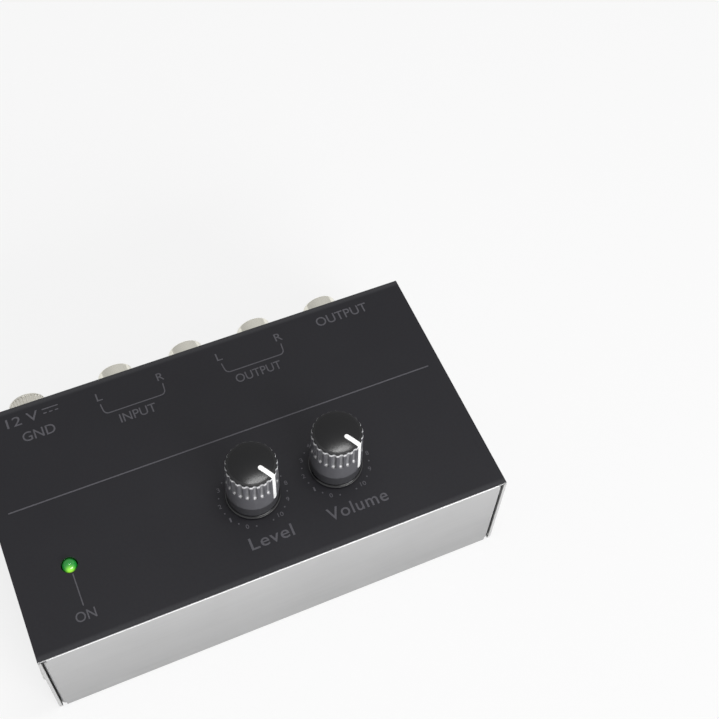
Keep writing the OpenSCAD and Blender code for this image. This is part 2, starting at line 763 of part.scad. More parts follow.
module dc_inlet_pin() {
    pin_back = body_d / 2 - inlet_d;
    pin_step = body_d / 2 - inlet_bore_l;
    pin_tip = body_d / 2 - inlet_pin_sunk;
    color([0.8, 0.78, 0.7]) translate([inlet_x, 0, 0]) {
        translate([0, 0, inlet_z]) difference() {
            turned_y([[0, pin_back - leg_t], [inlet_pin_root_r, pin_back - leg_t],
                [inlet_pin_root_r, pin_step], [inlet_pin_r, pin_step],
                [inlet_pin_r, pin_tip - inlet_pin_edge],
                [inlet_pin_r - inlet_pin_edge, pin_tip], [0, pin_tip]]);
            // Slit in the tip
            translate([-inlet_slit_w / 2, pin_tip - inlet_slit_l, -inlet_pin_r - cut])
                cube([inlet_slit_w, inlet_slit_l + cut, 2 * (inlet_pin_r + cut)]);
        }
        translate([-leg_w / 2, pin_back - leg_t, leg_z])
            cube([leg_w, leg_t, inlet_z + inlet_pin_root_r - leg_z]);
    }
}

module dc_inlet_spring() {
    leaf_z = inlet_z - inlet_bore_r;
    leaf_y = body_d / 2 - inlet_bore_l + wall_gap;
    leaf_l = inlet_leaf_leg_y() - leaf_y;
    color([0.8, 0.78, 0.7]) translate([inlet_x, 0, 0]) {
        translate([-leg_w / 2, leaf_y, leaf_z - leaf_t]) cube([leg_w, leaf_l, leaf_t]);
        translate([-leg_w / 2, inlet_leaf_leg_y() - leg_t / 2, leg_z])
            cube([leg_w, leg_t, leaf_z - leg_z]);
    }
}

// ---------- ground terminal ----------

function bracket_tab_y() = wall_y - bracket_foot + leg_t;

module ground_bracket() {
    color("silver") translate([ground_x, 0, 0]) difference() {
        union() {
            translate([-bracket_w / 2, wall_y - sheet, pcb_top])
                cube([bracket_w, sheet, jack_z + bracket_up - pcb_top]);
            translate([-bracket_w / 2, wall_y - bracket_foot, pcb_top])
                cube([bracket_w, bracket_foot, sheet]);
            translate([-leg_w / 2, bracket_tab_y() - leg_t / 2, leg_z])
                cube([leg_w, leg_t, pcb_top - leg_z + cut]);
        }
        translate([0, 0, jack_z])
            rod_y(wall_y - sheet - cut, sheet + 2 * cut, stud_r + touch);
    }
}

module ground_stud() {
    color([0.78, 0.76, 0.7]) translate([ground_x, 0, jack_z]) {
        rod_y(wall_y - sheet - stud_head_h, stud_end - wall_y + sheet + stud_head_h, stud_r);
        translate([0, wall_y - sheet - stud_head_h, 0]) rotate([-90, 0, 0])
            cylinder(h = stud_head_h, r = stud_head_r, $fn = 6);
    }
}

module ground_nut() {
    color([0.78, 0.76, 0.7]) translate([ground_x, 0, jack_z]) difference() {
        translate([0, fixed_nut_y, 0]) rotate([-90, 0, 0])
            cylinder(h = fixed_nut_h, r = stud_head_r, $fn = 6);
        rod_y(fixed_nut_y - cut, fixed_nut_h + 2 * cut, stud_r + touch);
    }
}

// Washer that spins on the thumb nut's spigot and travels with it
module ground_washer() {
    color([0.74, 0.72, 0.68]) translate([ground_x, 0, jack_z]) difference() {
        rod_y(washer_y, washer_t, washer_r);
        rod_y(washer_y - cut, washer_t + 2 * cut, spigot_r + turn_gap);
        rod_y(washer_y - cut, cut + spigot_sunk + spigot_lip_t + turn_gap,
            spigot_lip_r + turn_gap);
    }
}

module ground_thumb_nut() {
    lip_y = washer_y + spigot_sunk;
    color([0.78, 0.76, 0.7]) translate([ground_x, 0, jack_z]) difference() {
        turned_y([[0, lip_y], [spigot_lip_r, lip_y], [spigot_lip_r, lip_y + spigot_lip_t],
            [spigot_r, lip_y + spigot_lip_t], [spigot_r, thumb_y],
            [jack_r - thumb_edge, thumb_y], [jack_r, thumb_y + thumb_edge],
            [jack_r, thumb_tip - thumb_edge], [jack_r - thumb_edge, thumb_tip],
            [0, thumb_tip]]);
        rod_y(lip_y - cut, thumb_tip - thumb_roof - lip_y + cut, stud_r + turn_gap);
        for (i = [0:knurls - 1]) rotate([0, i * 360 / knurls, 0])
            translate([jack_r + knurl_r * 0.45, 0, 0])
                rotate([-90, 0, 0]) translate([0, 0, thumb_y + thumb_edge + knurl_end])
                    cylinder(h = thumb_tip - thumb_y - 2 * (thumb_edge + knurl_end),
                        r = knurl_r, $fn = 16);
    }
}

// ---------- board parts, drawn at the origin of their own footprint ----------

module opamp() {
    color([0.12, 0.12, 0.12]) translate([0, 0, opamp_up + opamp_size[2] / 2])
        cube(opamp_size, center = true);
    color("silver") for (turn = [0, 180], i = [-1.5:1.5])
        rotate(turn) translate([0, i * opamp_lead_pitch, 0]) opamp_lead();
}

// A bent lead from the body's side down to its foot on the board
module opamp_lead() {
    root = opamp_size[0] / 2 - opamp_lead_t;
    toe = opamp_size[0] / 2 + opamp_lead_out;
    knee = toe - opamp_foot;
    translate([0, opamp_lead_w / 2, 0]) rotate([90, 0, 0]) linear_extrude(opamp_lead_w)
        polygon([[root, opamp_lead_z], [knee - opamp_lead_t, opamp_lead_z],
            [knee - opamp_lead_t, 0], [toe, 0], [toe, opamp_lead_t], [knee, opamp_lead_t],
            [knee, opamp_lead_z + opamp_lead_t], [root, opamp_lead_z + opamp_lead_t]]);
}

module film_capacitor() {
    color([0.75, 0.15, 0.12]) translate([0, 0, film_size[2] / 2])
        cube(film_size, center = true);
    wire_leads(film_pitch / 2);
}

// Two wire leads that reach through the board
module wire_leads(x) {
    color("silver") for (s = [-1, 1]) translate([s * x, 0, leg_z - pcb_top])
        cylinder(h = pcb_top - leg_z + cut, r = wire_r, $fn = 24);
}

module can_capacitor(r, h) {
    g = can_groove_z;
    color([0.1, 0.12, 0.25]) rotate_extrude() polygon([[0, 0], [r, 0], [r, g[0]],
        [r - can_groove, g[1]], [r - can_groove, g[2]], [r, g[3]], [r, h - can_edge],
        [r - can_edge, h], [r - can_rim_w, h], [r - can_rim_w, h - can_rim_h],
        [0, h - can_rim_h]]);
    wire_leads(can_lead_x * r);
}

module voltage_regulator() {
    color([0.12, 0.12, 0.12])
        translate([regulator_spot[0], regulator_spot[1], pcb_top + regulator_up])
            difference() {
                cylinder(h = regulator_h, r = regulator_r);
                translate([-regulator_r, -regulator_flat - regulator_r, -cut])
                    cube([2 * regulator_r, regulator_r, regulator_h + 2 * cut]);
            }
    color("silver") for (i = [-1:1])
        translate([regulator_spot[0] + i * regulator_lead_x, regulator_spot[1], leg_z])
            cylinder(h = pcb_top + regulator_up + cut - leg_z, r = wire_r, $fn = 24);
}

module polarity_diode() {
    translate([diode_spot[0], diode_spot[1], pcb_top]) {
        color([0.12, 0.12, 0.12])
            translate([-diode_size[0] / 2, -diode_size[1] / 2, diode_up]) cube(diode_size);
        color("silver") for (s = [-1, 1])
            translate([s * diode_size[0] / 2 - diode_tab[0] / 2, -diode_tab[1] / 2, 0])
                cube(diode_tab);
    }
}

module chip(size) {
    translate([-size[0] / 2, -size[1] / 2, 0]) cube(size);
}

module resistors() {
    color([0.08, 0.08, 0.08]) for (i = [0:resistor_count - 1])
        translate([-resistor_x + i * resistor_pitch, resistor_y, pcb_top])
            chip(resistor_size);
}

module ceramic_capacitors() {
    color([0.65, 0.55, 0.4]) for (p = ceramic_spots) on_board(p) chip(ceramic_size);
}

module on_board(p) {
    translate([p[0], p[1], pcb_top]) children();
}

module at_level() { translate([level_x, control_y, 0]) children(); }
module at_volume() { translate([volume_x, control_y, 0]) children(); }
module at_jack(i) { translate([jack_x + i * jack_pitch, 0, 0]) children(); }

cover();
base_tray();
cover_screws();
pcb_standoffs();
pcb();
pcb_screws();
at_level() pot_case();  // level_pot_case
at_level() pot_pins();  // level_pot_pins
at_level() pot_shaft();  // level_shaft
at_level() knob();  // level_knob
at_level() pointer();  // level_pointer
at_volume() pot_case();  // volume_pot_case
at_volume() pot_pins();  // volume_pot_pins
at_volume() pot_shaft();  // volume_shaft
at_volume() knob();  // volume_knob
at_volume() pointer();  // volume_pointer
power_led();
led_leads();
led_spacer();
at_jack(0) jack_housing();  // input_left_housing
at_jack(0) jack_sleeve();  // input_left_sleeve
at_jack(0) jack_insulator("white");  // input_left_insulator
at_jack(0) jack_contact();  // input_left_contact
at_jack(1) jack_housing();  // input_right_housing
at_jack(1) jack_sleeve();  // input_right_sleeve
at_jack(1) jack_insulator("red");  // input_right_insulator
at_jack(1) jack_contact();  // input_right_contact
at_jack(2) jack_housing();  // output_left_housing
at_jack(2) jack_sleeve();  // output_left_sleeve
at_jack(2) jack_insulator("white");  // output_left_insulator
at_jack(2) jack_contact();  // output_left_contact
at_jack(3) jack_housing();  // output_right_housing
at_jack(3) jack_sleeve();  // output_right_sleeve
at_jack(3) jack_insulator("red");  // output_right_insulator
at_jack(3) jack_contact();  // output_right_contact
dc_inlet_body();
dc_inlet_pin();
dc_inlet_spring();
ground_stud();
ground_bracket();
ground_nut();
ground_washer();
ground_thumb_nut();
on_board(opamp_spots[0]) opamp();  // opamp_left
on_board(opamp_spots[1]) opamp();  // opamp_right
for (p = film_spots) on_board(p) film_capacitor();  // film_capacitors
for (p = coupling_spots) on_board(p) can_capacitor(coupling_r, coupling_h);  // coupling_capacitors
for (p = supply_spots) on_board(p) can_capacitor(supply_r, supply_h);  // supply_capacitors
voltage_regulator();
polarity_diode();
resistors();
ceramic_capacitors();
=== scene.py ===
import json
import math

import bpy
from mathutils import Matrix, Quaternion, Vector


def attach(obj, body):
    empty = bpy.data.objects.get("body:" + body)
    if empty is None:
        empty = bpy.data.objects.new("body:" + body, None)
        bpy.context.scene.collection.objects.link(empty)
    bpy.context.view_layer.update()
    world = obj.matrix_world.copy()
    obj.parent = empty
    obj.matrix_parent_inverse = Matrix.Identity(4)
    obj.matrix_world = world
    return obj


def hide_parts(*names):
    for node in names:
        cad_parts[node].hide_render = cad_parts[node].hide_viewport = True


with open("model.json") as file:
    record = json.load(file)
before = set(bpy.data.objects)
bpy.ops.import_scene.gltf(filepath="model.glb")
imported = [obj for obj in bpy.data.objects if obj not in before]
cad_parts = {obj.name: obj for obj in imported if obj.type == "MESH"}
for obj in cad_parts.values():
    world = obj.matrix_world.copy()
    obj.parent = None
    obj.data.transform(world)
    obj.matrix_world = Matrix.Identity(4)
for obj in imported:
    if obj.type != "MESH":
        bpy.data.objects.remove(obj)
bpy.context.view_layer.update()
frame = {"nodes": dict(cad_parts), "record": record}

NODES = frame["nodes"]
MM = 0.001

# ---------------------------------------------------------------- sizes, in millimetres
# The origin is the centre of the case's underside; +Y runs to the sockets.
CASE_H = 28.0
PRINT_TOP = CASE_H + 0.015              # the printed marks stand just proud of the top
LAMP = (-40.05, -11.4)

# Knobs: their places on the top, and the angle at which both pointers rest
KNOBS = {"level": (0.2, -10.85), "volume": (19.2, -10.85)}
KNOB_Z = CASE_H + 0.3
POINTER_DEG = -54.0

# Outside of a knob from the foot up: lip, waisted neck, shoulder, rim and domed crown
KNOB_H = 14.6
KNOB_R, LIP_H = 5.90, 0.5
NECK_R, NECK_Z = 5.54, LIP_H + 0.25
SHOULDER_R, SHOULDER_Z = 5.64, 4.2
RIM_R, CROWN_H, CROWN_ROUND = 5.40, 0.7, 0.5
SIDE_TOP = KNOB_H - CROWN_H - CROWN_ROUND
KNOB_WALL, KNOB_ROOF = 1.2, 2.4         # thickness round the hollow and above it
AXIS_R = 0.001                          # the mesh leaves a pinhole on the axis

# Flutes of a knob: cut by a ball-ended cutter, with a plain land for the pointer
FLUTES, FLUTE_R, LAND_DEG = 21, 0.55, 34.0
FLUTE_Z = 0.58 * KNOB_H
FLUTE_AXIS_R = RIM_R + FLUTE_R * 0.45   # where the cutter's axis runs
FLUTE_STEP = math.radians((360 - LAND_DEG) / (FLUTES - 1))
FLUTE_FIRST = math.radians(LAND_DEG / 2)
FLUTE_SPAN = 0.2                        # half the angle, in radians, that one flute shapes
FLUTE_SOFT = 0.10                       # rounding of the flutes' edges

# Painted highlights of a knob: how far the pale marks that stand for glints reach
RIM_LINE_Z = KNOB_H - CROWN_H - 0.85 * CROWN_ROUND
RIM_LINE = 0.24                         # half the height of the painted highlight on the rim
FLUTE_FOOT, FLUTE_FOOT_RISE = 0.35, 0.3     # the painted highlight at a flute's end, and its height in it
LIP_LINE, LIP_GLINT_TONE = 0.2, 0.05          # the faint painted highlight on the lip, and how pale it gets

# Mesh of a knob
KNOB_SEGMENTS = 720
CORNER_STEPS = 5                        # edges in each rounded corner
CAP_RINGS = 22                          # rings of vertices on the domed crown


def m(*values):
    """Millimetres to metres."""
    return Vector([v * MM for v in values])


def put(name, data):
    """An object in the scene that carries the data."""
    obj = bpy.data.objects.new(name, data)
    bpy.context.scene.collection.objects.link(obj)
    return obj


def point_at(obj, place, aim, roll=0.0):
    """Stand obj at its place, in metres, and turn its -Z axis to the aim."""
    obj.location = place
    obj.rotation_mode = "QUATERNION"
    obj.rotation_quaternion = ((Vector(aim) - Vector(place)).to_track_quat("-Z", "Y")
                               @ Quaternion((0, 0, 1), roll))


# ---------------------------------------------------------------- materials

class Finish:
    """A Principled material with short calls for the nodes that feed it."""

    def __init__(self, name, **sockets):
        self.mat = bpy.data.materials.new(name)
        self.mat.use_nodes = True
        self.tree = self.mat.node_tree
        self.shader = self.tree.nodes["Principled BSDF"]
        for key, value in sockets.items():
            self.shader.inputs[key.replace("_", " ")].default_value = value
        self.coords = self.node("ShaderNodeTexCoord")

    def node(self, kind, **props):
        n = self.tree.nodes.new(kind)
        for key, value in props.items():
            setattr(n, key, value)
        return n

    def link(self, source, target):
        self.tree.links.new(source, target)

    def feed(self, socket, source):
        self.link(source, self.shader.inputs[socket])

    def place(self, stretch=(1, 1, 1)):
        """Object coordinates, stretched per axis."""
        n = self.node("ShaderNodeMapping")
        n.inputs["Scale"].default_value = stretch
        self.link(self.coords.outputs["Object"], n.inputs["Vector"])
        return n.outputs["Vector"]

    def noise(self, scale, detail, rough, stretch=(1, 1, 1)):
        n = self.node("ShaderNodeTexNoise")
        n.inputs["Scale"].default_value = scale
        n.inputs["Detail"].default_value = detail
        n.inputs["Roughness"].default_value = rough
        self.link(self.place(stretch), n.inputs["Vector"])
        return n.outputs["Fac"]

    def span(self, value, a, b, lo=0.0, hi=1.0, smooth=False):
        """value mapped from a..b to lo..hi and held at the ends."""
        n = self.node("ShaderNodeMapRange", clamp=True)
        if smooth:
            n.interpolation_type = "SMOOTHSTEP"
        for key, x in (("From Min", a), ("From Max", b), ("To Min", lo), ("To Max", hi)):
            n.inputs[key].default_value = x
        self.link(value, n.inputs["Value"])
        return n.outputs["Result"]

    def math(self, kind, a, b=None):
        """One sum of numbers or outputs; b is left out where the kind takes one value."""
        n = self.node("ShaderNodeMath", operation=kind)
        for i, x in enumerate((a, b)):
            if x is None:
                continue
            if isinstance(x, (int, float)):
                n.inputs[i].default_value = x
            else:
                self.link(x, n.inputs[i])
        return n.outputs["Value"]

    def axis(self, kind, letter):
        """The X, Y or Z part of the Object or Normal coordinates."""
        n = self.node("ShaderNodeSeparateXYZ")
        self.link(self.coords.outputs[kind], n.inputs[0])
        return n.outputs[letter]

    def blend(self, fac, a, b):
        """A colour between a and b."""
        n = self.node("ShaderNodeMix", data_type="RGBA")
        self.link(fac, n.inputs["Factor"])
        for key, x in (("A", a), ("B", b)):
            s = [i for i in n.inputs if i.name == key and i.type == "RGBA"][0]
            if isinstance(x, tuple):
                s.default_value = (*x, 1.0)
            else:
                self.link(x, s)
        return [o for o in n.outputs if o.type == "RGBA"][0]

    def bump(self, height, depth, radius=None):
        """Relief of the given depth, and edges rounded by the radius, in millimetres."""
        n = self.node("ShaderNodeBump")
        n.inputs["Distance"].default_value = depth * MM
        self.link(height, n.inputs["Height"])
        if radius:
            bevel = self.node("ShaderNodeBevel", samples=6)
            bevel.inputs["Radius"].default_value = radius * MM
            self.link(bevel.outputs["Normal"], n.inputs["Normal"])
        self.feed("Normal", n.outputs["Normal"])


def metal(name, colour, rough, grain=(1, 1, 1), scale=900, spread=0.06, radius=0.08,
          tarnish=0.14):
    """Plated or bare metal with a fine grain, a little tarnish and rounded edges."""
    f = Finish(name, Metallic=1.0, Roughness=rough)
    cloud = f.noise(60, 4, 0.6)
    dark = tuple(c * (1.0 - tarnish) for c in colour)
    f.feed("Base Color", f.blend(f.span(cloud, 0.35, 0.7), colour, dark))
    fine = f.noise(scale, 4, 0.6, grain)
    f.feed("Roughness", f.span(fine, 0.3, 0.7, rough - spread, rough + spread))
    f.bump(fine, 0.0015, radius)
    return f.mat


def moulding(name, colour, rough, scale=2600, depth=0.003, radius=0.1, **sockets):
    """Moulded plastic with a fine spark-eroded texture and rounded edges."""
    f = Finish(name, Roughness=rough, **sockets)
    cloud = f.noise(110, 3, 0.5)
    pale = tuple(min(1.0, c * 1.18 + 0.002) for c in colour)
    f.feed("Base Color", f.blend(f.span(cloud, 0.35, 0.7), colour, pale))
    fine = f.noise(scale, 3, 0.55)
    f.feed("Roughness", f.span(fine, 0.3, 0.7, rough - 0.06, rough + 0.06))
    f.bump(fine, depth, radius)
    return f.mat


def cover_finish():
    """Satin charcoal paint on the plate, painted paler along the front and rear folds as a
    painted highlight and ending within them, and the bare satin sheet below it, with a
    painted highlight on the folds and painted shade towards the foot."""
    f = Finish("cover_finish", Specular_IOR_Level=0.28)
    normal_z = f.axis("Normal", "Z")
    z = f.axis("Object", "Z")
    ragged = f.noise(2500, 2, 0.5)
    edge = f.math("ADD", normal_z, f.span(ragged, 0.3, 0.7, -0.03, 0.03))
    painted = f.math("MULTIPLY", f.span(edge, 0.77, 0.80, smooth=True),
                     f.span(z, 27.0 * MM, 27.1 * MM))
    bare = f.math("SUBTRACT", 1.0, painted)

    # Paint: charcoal with an orange-peel relief and faint clouds
    peel = f.noise(1500, 3, 0.55)
    cloud = f.noise(28, 4, 0.6)
    paint = f.blend(f.span(cloud, 0.3, 0.7), (0.0113, 0.0109, 0.0142),
                    (0.0141, 0.0137, 0.0172))
    # Paler paint near the front and rear folds: a painted highlight where the folds begin
    # to curve.
    from_middle = f.math("ABSOLUTE", f.axis("Object", "Y"))
    fold_sheen = f.math("MULTIPLY", f.span(from_middle, 27.3 * MM, 28.2 * MM, smooth=True),
                    f.span(ragged, 0.3, 0.6, 0.7, 1.0))
    paint = f.blend(fold_sheen, paint, (0.034, 0.034, 0.038))

    # Bare sheet: long fine rolling lines and soft clouds, and painted shade that darkens
    # it towards the foot
    lines = f.noise(700, 5, 0.65, (0.05, 1.0, 1.0))
    patch = f.noise(45, 3, 0.55)
    low = f.span(z, 4.0 * MM, 26.0 * MM, 1.0, 0.0)
    shade_and_patches = f.math("ADD", f.math("MULTIPLY", low, 0.75), f.span(patch, 0.3, 0.7, 0.0, 0.25))
    sheet = f.blend(shade_and_patches, (0.55, 0.55, 0.552), (0.41, 0.41, 0.412))
    # A near-white band on the bare fold: a painted highlight of the front light.
    fold_highlight = f.span(normal_z, 0.30, 0.60, smooth=True)
    sheet = f.blend(fold_highlight, sheet, (0.93, 0.93, 0.93))

    f.feed("Base Color", f.blend(painted, sheet, paint))
    f.feed("Metallic", f.span(painted, 0.0, 1.0, 1.0, 0.0))
    paint_rough = f.span(peel, 0.3, 0.7, 0.50, 0.60)
    bare_rough = f.span(lines, 0.3, 0.7, 0.36, 0.44)
    f.feed("Roughness", f.math("ADD", f.math("MULTIPLY", painted, paint_rough),
                               f.math("MULTIPLY", bare, bare_rough)))
    f.bump(f.math("ADD", f.math("MULTIPLY", painted, peel),
                  f.math("MULTIPLY", bare, lines)), 0.004, 0.05)
    return f.mat


def bare_sheet():
    """The base tray's satin sheet, with rolling lines from front to rear."""
    f = Finish("bare_sheet", Metallic=1.0)
    lines = f.noise(700, 5, 0.65, (1.0, 0.05, 1.0))
    patch = f.noise(40, 3, 0.55)
    f.feed("Base Color", f.blend(f.span(patch, 0.3, 0.7), (0.66, 0.66, 0.655),
                                 (0.59, 0.59, 0.588)))
    f.feed("Roughness", f.span(lines, 0.3, 0.7, 0.34, 0.44))
    f.bump(lines, 0.004, 0.05)
    return f.mat


def knob_plastic():
    """Black moulding: smooth crown, greyer sides that are partly eroded texture and partly
    painted sheen, over a neck painted darker as shade, glossy rounded edges, a duller ring
    just inside the rim, and painted highlights on the flutes, the rim and the lip."""
    f = Finish("knob_black", Specular_IOR_Level=0.46)
    normal_z = f.axis("Normal", "Z")
    z = f.axis("Object", "Z")
    # The sides are greyer than the crown, partly for an eroded texture and partly as
    # painted sheen of the front light; below the shoulder the neck is only part grey and
    # the lip stays black, as painted shade.
    skirt = f.span(z, (SHOULDER_Z - 0.2) * MM, SHOULDER_Z * MM)
    neck = f.span(z, (LIP_H + 0.5) * MM, (LIP_H + 0.7) * MM, 0.0, 0.38)
    side = f.math("MULTIPLY", f.span(normal_z, 0.45, 0.75, 1.0, 0.0, smooth=True),
                  f.math("MAXIMUM", skirt, neck))
    edge = f.math("MULTIPLY", f.span(normal_z, 0.40, 0.58, smooth=True),
                  f.span(normal_z, 0.86, 0.94, 1.0, 0.0, smooth=True))
    edge = f.math("MULTIPLY", edge, skirt)
    from_axis = f.node("ShaderNodeVectorMath", operation="LENGTH")
    f.link(f.place((1, 1, 0)), from_axis.inputs[0])
    ring = f.math("MULTIPLY", f.span(normal_z, 0.92, 0.955, smooth=True),
                  f.span(from_axis.outputs["Value"], 4.55 * MM, 4.8 * MM, smooth=True))
    # Pale colour painted on the rim, along the flutes, at their lower ends and on the lip:
    # painted highlights that stand for glints of the lights.
    painted_glint = f.node("ShaderNodeAttribute", attribute_name="painted_glint").outputs["Fac"]
    painted_glint = f.math("MULTIPLY", painted_glint, f.span(f.noise(700, 3, 0.6), 0.25, 0.6, 0.75, 1.0))

    cloud = f.span(f.noise(150, 3, 0.5), 0.35, 0.7)
    gloss = f.blend(cloud, (0.0040, 0.0040, 0.0048), (0.0055, 0.0055, 0.0064))
    dull_and_sheen = f.blend(cloud, (0.090, 0.090, 0.099), (0.105, 0.105, 0.114))
    body = f.blend(side, gloss, dull_and_sheen)
    # The pale colour of the painted highlights.
    f.feed("Base Color", f.blend(painted_glint, body, (0.85, 0.85, 0.86)))

    fine = f.noise(3000, 3, 0.55)
    rough = f.math("ADD", f.span(side, 0.0, 0.35, 0.23, 0.34),
                   f.span(fine, 0.3, 0.7, -0.02, 0.02))
    rough = f.math("ADD", rough, f.math("MULTIPLY", ring, 0.24))
    f.feed("Roughness", f.math("SUBTRACT", rough, f.math("MULTIPLY", edge, 0.15)))
    f.bump(fine, 0.0006)
    return f.mat


def lamp_lens():
    """A lit green lens: brighter and yellower low down at the front."""
    f = Finish("lamp_lens", Roughness=0.12, Coat_Weight=0.5, Coat_Roughness=0.04)
    from_spot = f.node("ShaderNodeVectorMath", operation="DISTANCE")
    f.link(f.coords.outputs["Object"], from_spot.inputs[0])
    from_spot.inputs[1].default_value = m(LAMP[0] - 0.1, LAMP[1] - 1.2, CASE_H + 0.1)
    glow = f.span(from_spot.outputs["Value"], 0.25 * MM, 1.5 * MM, 1.0, 0.0, smooth=True)
    fleck = f.noise(900, 2, 0.5)
    body = f.blend(f.span(fleck, 0.3, 0.7), (0.008, 0.20, 0.03), (0.012, 0.26, 0.03))
    f.feed("Base Color", body)
    f.feed("Emission Color", f.blend(glow, (0.015, 0.20, 0.02), (0.44, 0.90, 0.06)))
    f.feed("Emission Strength", f.span(glow, 0.0, 1.0, 0.22, 0.80))
    return f.mat


def board_green():
    """Solder mask over copper runs that follow the board's two directions."""
    f = Finish("board_green", Coat_Weight=0.3, Coat_Roughness=0.2)
    runs = f.node("ShaderNodeTexVoronoi", feature="DISTANCE_TO_EDGE", distance="MANHATTAN")
    runs.inputs["Scale"].default_value = 520
    f.link(f.place((1.0, 0.35, 1.0)), runs.inputs["Vector"])
    copper = f.span(runs.outputs["Distance"], 0.05, 0.09, 1.0, 0.0, smooth=True)
    f.feed("Base Color", f.blend(copper, (0.008, 0.085, 0.025), (0.02, 0.16, 0.045)))
    f.feed("Roughness", f.span(copper, 0, 1, 0.32, 0.24))
    f.bump(copper, 0.03, 0.05)
    return f.mat


def can_sleeve(name, colour):
    """Shrunk sleeve round a can, with a pale stripe and the bare top of the can."""
    f = Finish(name, Coat_Weight=0.4, Coat_Roughness=0.15)
    top = f.span(f.axis("Normal", "Z"), 0.85, 0.95, smooth=True)
    stripe = f.span(f.axis("Normal", "X"), 0.93, 0.95)
    crease = f.noise(350, 3, 0.5, (1, 1, 0.2))
    dressed = f.blend(stripe, colour, (0.55, 0.56, 0.58))
    f.feed("Base Color", f.blend(top, dressed, (0.62, 0.62, 0.61)))
    f.feed("Metallic", top)
    f.feed("Roughness", f.span(crease, 0.3, 0.7, 0.28, 0.4))
    f.bump(crease, 0.01, 0.08)
    return f.mat


def printed(name, colour):
    """Screen-printed ink, slightly uneven like a thin coat."""
    f = Finish(name, Roughness=0.6, Specular_IOR_Level=0.3)
    grain = f.noise(3200, 3, 0.6)
    thin = tuple(c * 0.82 for c in colour)
    f.feed("Base Color", f.blend(f.span(grain, 0.35, 0.65), colour, thin))
    f.bump(grain, 0.002)
    return f.mat


# One finish for each material slot of the record
FINISHES = {
    "cover_finish": cover_finish(),
    "bare_sheet": bare_sheet(),
    "screw_steel": metal("screw_steel", (0.60, 0.60, 0.58), 0.30),
    "board_green": board_green(),
    "pot_metal": metal("pot_metal", (0.55, 0.55, 0.56), 0.38, grain=(1, 0.1, 1)),
    "tinned_metal": metal("tinned_metal", (0.66, 0.66, 0.64), 0.28, scale=1400),
    "shaft_metal": metal("shaft_metal", (0.62, 0.62, 0.63), 0.30, grain=(0.1, 0.1, 1),
                         scale=1500),
    "knob_black": knob_plastic(),
    "pointer_white": moulding("pointer_white", (0.80, 0.80, 0.80), 0.45, depth=0.001,
                              radius=0.05),
    "lamp_green": lamp_lens(),
    "black_plastic": moulding("black_plastic", (0.014, 0.014, 0.014), 0.45),
    "nickel": metal("nickel", (0.98, 0.955, 0.855), 0.20, grain=(1, 0.2, 1), scale=1300,
                    spread=0.05, radius=0.10, tarnish=0.07),
    "socket_white": moulding("socket_white", (0.80, 0.80, 0.77), 0.32, depth=0.001),
    "socket_red": moulding("socket_red", (0.55, 0.018, 0.014), 0.32, depth=0.001),
    "contact_gold": metal("contact_gold", (0.83, 0.60, 0.26), 0.2),
    "chip_black": moulding("chip_black", (0.02, 0.02, 0.021), 0.5, depth=0.004,
                           radius=0.04),
    "capacitor_red": moulding("capacitor_red", (0.42, 0.03, 0.02), 0.28, scale=700,
                              depth=0.01, Coat_Weight=0.5),
    "capacitor_blue": can_sleeve("capacitor_blue", (0.012, 0.016, 0.05)),
    "ceramic_tan": moulding("ceramic_tan", (0.42, 0.27, 0.14), 0.4, radius=0.03),
}
KNURLED = metal("nickel_knurled", (0.89, 0.865, 0.785), 0.42, scale=1300, radius=0.20)
LEGEND = printed("legend_grey", (0.088, 0.086, 0.098))

for row in frame["record"]["subparts"]:
    node = NODES[row["node"]]
    node.data.materials.clear()
    node.data.materials.append(FINISHES[row["material_slot"]])
NODES["ground_thumb_nut"].data.materials[0] = KNURLED


# ---------------------------------------------------------------- mesh helpers

def new_mesh(name, verts, faces, mat):
    """A mesh of vertices in metres, with one material."""
    mesh = bpy.data.meshes.new(name)
    mesh.from_pydata(verts, [], faces)
    mesh.update()
    mesh.materials.append(mat)
    return mesh


def add(name, mesh, body, place=(0, 0, 0), turn=0.0):
    """A visible piece of the part, which rides on a body."""
    obj = put(name, mesh)
    obj.location = place
    obj.rotation_euler = (0, 0, turn)
    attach(obj, body)
    return obj


def fillet(points, radii, steps):
    """A polyline whose corners are rounded by the given radii, in so many edges each."""
    out = [Vector(points[0])]
    for a, b, c, r in zip(points, points[1:], points[2:], radii):
        a, b, c = Vector(a), Vector(b), Vector(c)
        u, w = (a - b).normalized(), (c - b).normalized()
        half = u.angle(w) / 2
        back = min(r / math.tan(half), (a - b).length * 0.49, (c - b).length * 0.49)
        r = back * math.tan(half)
        centre = b + (u + w).normalized() * (r / math.sin(half))
        s, e = b + u * back - centre, b + w * back - centre
        for i in range(steps + 1):
            t = i / steps
            out.append(centre + (s * (1 - t) + e * t).normalized() * r)
    out.append(Vector(points[-1]))
    return out


def soft_min(a, b, k):
    """The smaller of two numbers, with the change between them rounded over k."""
    h = max(k - abs(a - b), 0.0) / k
    return min(a, b) - h * h * k / 4


def near(distance, reach):
    """1 at a distance of nothing, falling evenly to 0 at the reach."""
    return max(0.0, 1.0 - abs(distance) / reach)


# ---------------------------------------------------------------- knobs

